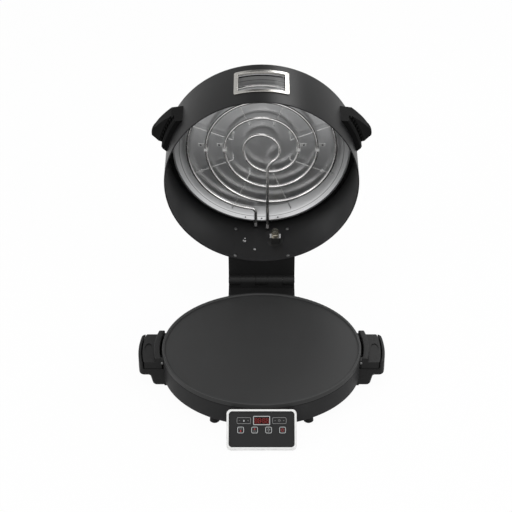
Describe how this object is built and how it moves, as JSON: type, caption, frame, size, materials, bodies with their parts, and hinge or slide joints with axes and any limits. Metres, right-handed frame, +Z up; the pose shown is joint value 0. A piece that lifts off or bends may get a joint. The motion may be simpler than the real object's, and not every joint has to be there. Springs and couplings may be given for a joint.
{
  "type": "electric flatbread maker",
  "caption": "Round countertop flatbread and pizza maker: low heated base with a lift-out coated plate, a deep hinged drum lid with a bare spiral element and window, and a sloped key panel.",
  "frame": {"origin": "on the table, under the middle of the whole outline with the lid open", "axes": "+X to the right of a user at the panel, +Y to the hinge at the rear, +Z up"},
  "size_m": [0.508, 0.6732, 0.5454],
  "materials": {
    "body_paint": "satin black paint",
    "dark_plastic": "fine matt grain",
    "key_plastic": "satin",
    "plate_coating": "dark non-stick coating",
    "steel": "bright",
    "reflector_metal": "rolled, half polished",
    "frame_silver": "silver lacquer",
    "window_silver": "satin",
    "clear_glass": "clear",
    "display_red": "dark red, smooth",
    "display_black": "plain",
    "rubber": "matt",
    "ceramic": "glazed",
    "brass": "plain",
    "fibre": "felted",
    "circuit_board": "lacquered"
  },
  "bodies": {
    "base": {"base_bracket_screws": "steel", "base_handle_screws": "steel", "base_hinge_bracket": "dark_plastic", "base_housing": "body_paint", "bottom_cover": "body_paint", "control_board": "circuit_board", "cord_gland": "rubber", "display_lens": "display_red", "display_module": "display_black", "foot_screws": "steel", "hinge_pin": "steel", "left_base_handle": "dark_plastic", "lower_element_supports": "steel", "lower_heating_element": "steel", "lower_reflector": "reflector_metal", "panel_face": "dark_plastic", "panel_frame": "frame_silver", "panel_housing": "dark_plastic", "panel_screws": "steel", "plate_sensor": "steel", "power_board": "circuit_board", "right_base_handle": "dark_plastic", "rubber_feet": "rubber", "tact_switches": "display_black", "terminal_block": "display_black"},
    "plate": {"baking_plate": "plate_coating", "left_plate_handle": "dark_plastic", "right_plate_handle": "dark_plastic", "plate_handle_screws": "steel"},
    "lid": {"lid_drum": "body_paint", "lid_top_cover": "body_paint", "reflector_dish": "reflector_metal", "dish_screws": "steel", "dish_standoffs": "steel", "insulation_pad": "fibre", "thermal_limiter": "steel", "upper_heating_element": "steel", "element_support_wires": "steel", "element_clips": "steel", "clip_rivets": "steel", "terminal_insulators": "ceramic", "window_frame": "window_silver", "window_glass": "clear_glass", "window_gasket": "rubber", "left_lid_handle": "dark_plastic", "right_lid_handle": "dark_plastic", "lid_handle_screws": "steel", "lid_hinge_bracket": "dark_plastic", "lid_bracket_screws": "steel", "lamp_holder": "ceramic", "lamp_plate": "steel", "lamp_cap": "brass", "lamp_bulb": "clear_glass", "lid_wall_studs": "steel"},
    "lower_heat_key": {"lower_heat_key": "key_plastic"},
    "upper_heat_key": {"upper_heat_key": "key_plastic"},
    "lamp_key": {"lamp_key": "key_plastic"},
    "power_key": {"power_key": "key_plastic"},
    "temperature_rocker": {"temperature_rocker": "key_plastic"},
    "timer_rocker": {"timer_rocker": "key_plastic"}
  },
  "joints": [
    {"name": "lid_hinge", "type": "hinge", "parent": "base", "child": "lid", "pos_m": [0, 0.18853, 0.07], "axis": [-1, 0, 0], "range_deg": [-83, 0]},
    {"name": "plate_lift", "type": "slide", "parent": "base", "child": "plate", "axis": [0, 0, 1], "range_m": [0, 0.3]},
    {"name": "lower_heat_key_press", "type": "slide", "parent": "base", "child": "lower_heat_key", "axis": [0, 0.682, -0.7314], "range_m": [0, 0.0008], "stiffness_N_per_m": 1200},
    {"name": "upper_heat_key_press", "type": "slide", "parent": "base", "child": "upper_heat_key", "axis": [0, 0.682, -0.7314], "range_m": [0, 0.0008], "stiffness_N_per_m": 1200},
    {"name": "lamp_key_press", "type": "slide", "parent": "base", "child": "lamp_key", "axis": [0, 0.682, -0.7314], "range_m": [0, 0.0008], "stiffness_N_per_m": 1200},
    {"name": "power_key_press", "type": "slide", "parent": "base", "child": "power_key", "axis": [0, 0.682, -0.7314], "range_m": [0, 0.0008], "stiffness_N_per_m": 1200},
    {"name": "temperature_rocker_tilt", "type": "hinge", "parent": "base", "child": "temperature_rocker", "pos_m": [-0.0346, -0.29243, 0.04558], "axis": [0, 0.7314, 0.682], "range_deg": [-3, 3], "stiffness_Nm_per_rad": 0.5},
    {"name": "timer_rocker_tilt", "type": "hinge", "parent": "base", "child": "timer_rocker", "pos_m": [0.0346, -0.29243, 0.04558], "axis": [0, 0.7314, 0.682], "range_deg": [-3, 3], "stiffness_Nm_per_rad": 0.5}
  ]
}
